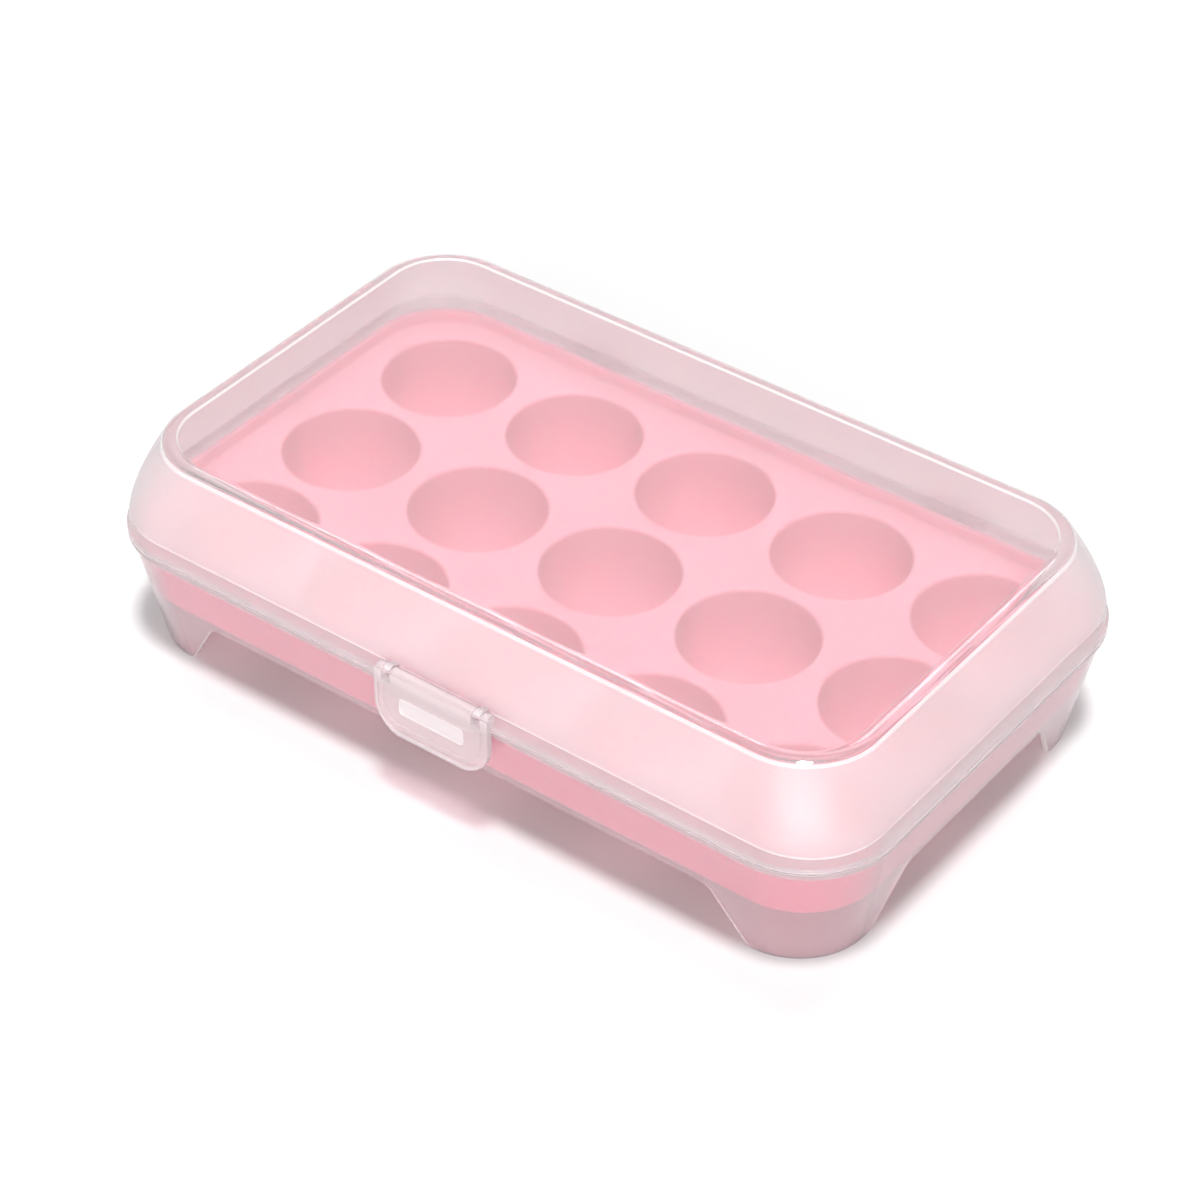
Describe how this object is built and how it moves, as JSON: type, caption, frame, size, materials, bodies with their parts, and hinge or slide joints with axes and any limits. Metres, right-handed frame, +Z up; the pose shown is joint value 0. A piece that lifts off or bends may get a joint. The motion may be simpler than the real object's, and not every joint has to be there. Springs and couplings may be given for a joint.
{
  "type": "egg storage container",
  "caption": "Low rectangular keeper with a hinged see-through lid, a front snap latch and a lift-out tray of round cups on a footed base.",
  "frame": {"origin": "bottom centre of the whole container's box, on the surface that the feet stand on", "axes": "+X along the long side, -Y out of the front, where the latch is, +Y to the hinge, +Z up"},
  "size_m": [0.2468, 0.1588, 0.064],
  "materials": {
    "base_plastic": "frosted translucent polypropylene, milky with a pink cast",
    "tray_plastic": "satin pink polypropylene",
    "lid_plastic": "clear to milky polypropylene, glossy on top and softly frosted on the sides",
    "latch_plastic": "milky translucent polypropylene"
  },
  "bodies": {
    "base": {"base": "base_plastic", "tray": "tray_plastic"},
    "lid": {"lid": "lid_plastic"},
    "latch": {"latch": "latch_plastic"}
  },
  "joints": [
    {"name": "lid_hinge", "type": "hinge", "parent": "base", "child": "lid", "pos_m": [0, 0.07645, 0.03675], "axis": [-1, 0, 0], "range_deg": [0, 110]},
    {"name": "latch_hinge", "type": "hinge", "parent": "lid", "child": "latch", "pos_m": [0, -0.07675, 0.041], "axis": [-1, 0, 0], "range_deg": [0, 100]}
  ]
}
